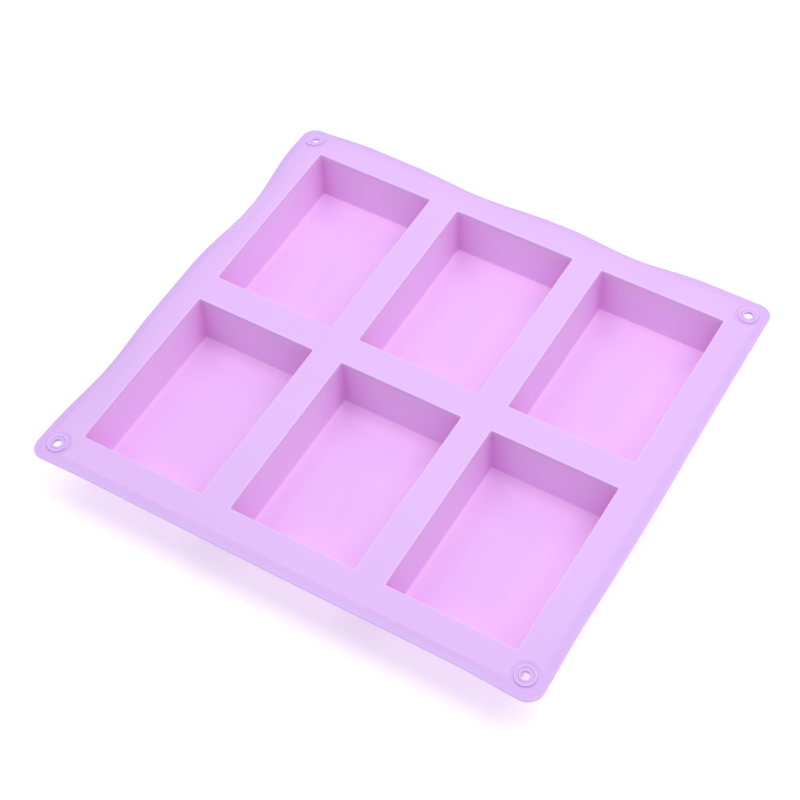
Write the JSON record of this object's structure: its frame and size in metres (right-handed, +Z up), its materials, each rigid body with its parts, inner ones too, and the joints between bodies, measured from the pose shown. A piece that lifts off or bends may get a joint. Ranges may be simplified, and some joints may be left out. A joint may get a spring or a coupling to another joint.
{
  "type": "soap mould tray",
  "caption": "Soft silicone tray mould for rectangular soap bars: deep open cups in two rows under one flat deck, with a drooping rim and a hanging eyelet in each corner.",
  "frame": {"origin": "middle of the plane that the six cups stand on", "axes": "+X along the three columns of cavities, +Y along the length of each bar towards the back row, +Z up out of the openings"},
  "size_m": [0.2226, 0.205, 0.025],
  "materials": {
    "lilac_silicone": "satin moulded silicone"
  },
  "bodies": {
    "tray": {"deck_web": "lilac_silicone", "rim_back": "lilac_silicone", "rim_front": "lilac_silicone", "rim_left": "lilac_silicone", "rim_right": "lilac_silicone", "corner_front_left": "lilac_silicone", "corner_front_right": "lilac_silicone", "corner_back_left": "lilac_silicone", "corner_back_right": "lilac_silicone", "eyelet_front_left": "lilac_silicone", "eyelet_front_right": "lilac_silicone", "eyelet_back_left": "lilac_silicone", "eyelet_back_right": "lilac_silicone", "cup_front_left": "lilac_silicone", "cup_front_middle": "lilac_silicone", "cup_front_right": "lilac_silicone", "cup_back_left": "lilac_silicone", "cup_back_middle": "lilac_silicone", "cup_back_right": "lilac_silicone"},
    "push_front_left": {"floor_front_left": "lilac_silicone"},
    "push_front_middle": {"floor_front_middle": "lilac_silicone"},
    "push_front_right": {"floor_front_right": "lilac_silicone"},
    "push_back_left": {"floor_back_left": "lilac_silicone"},
    "push_back_middle": {"floor_back_middle": "lilac_silicone"},
    "push_back_right": {"floor_back_right": "lilac_silicone"}
  },
  "joints": [
    {"name": "push_out_front_left", "type": "slide", "parent": "tray", "child": "push_front_left", "axis": [0, 0, 1], "range_m": [0, 0.01], "stiffness_N_per_m": 400},
    {"name": "push_out_front_middle", "type": "slide", "parent": "tray", "child": "push_front_middle", "axis": [0, 0, 1], "range_m": [0, 0.01], "stiffness_N_per_m": 400},
    {"name": "push_out_front_right", "type": "slide", "parent": "tray", "child": "push_front_right", "axis": [0, 0, 1], "range_m": [0, 0.01], "stiffness_N_per_m": 400},
    {"name": "push_out_back_left", "type": "slide", "parent": "tray", "child": "push_back_left", "axis": [0, 0, 1], "range_m": [0, 0.01], "stiffness_N_per_m": 400},
    {"name": "push_out_back_middle", "type": "slide", "parent": "tray", "child": "push_back_middle", "axis": [0, 0, 1], "range_m": [0, 0.01], "stiffness_N_per_m": 400},
    {"name": "push_out_back_right", "type": "slide", "parent": "tray", "child": "push_back_right", "axis": [0, 0, 1], "range_m": [0, 0.01], "stiffness_N_per_m": 400}
  ]
}
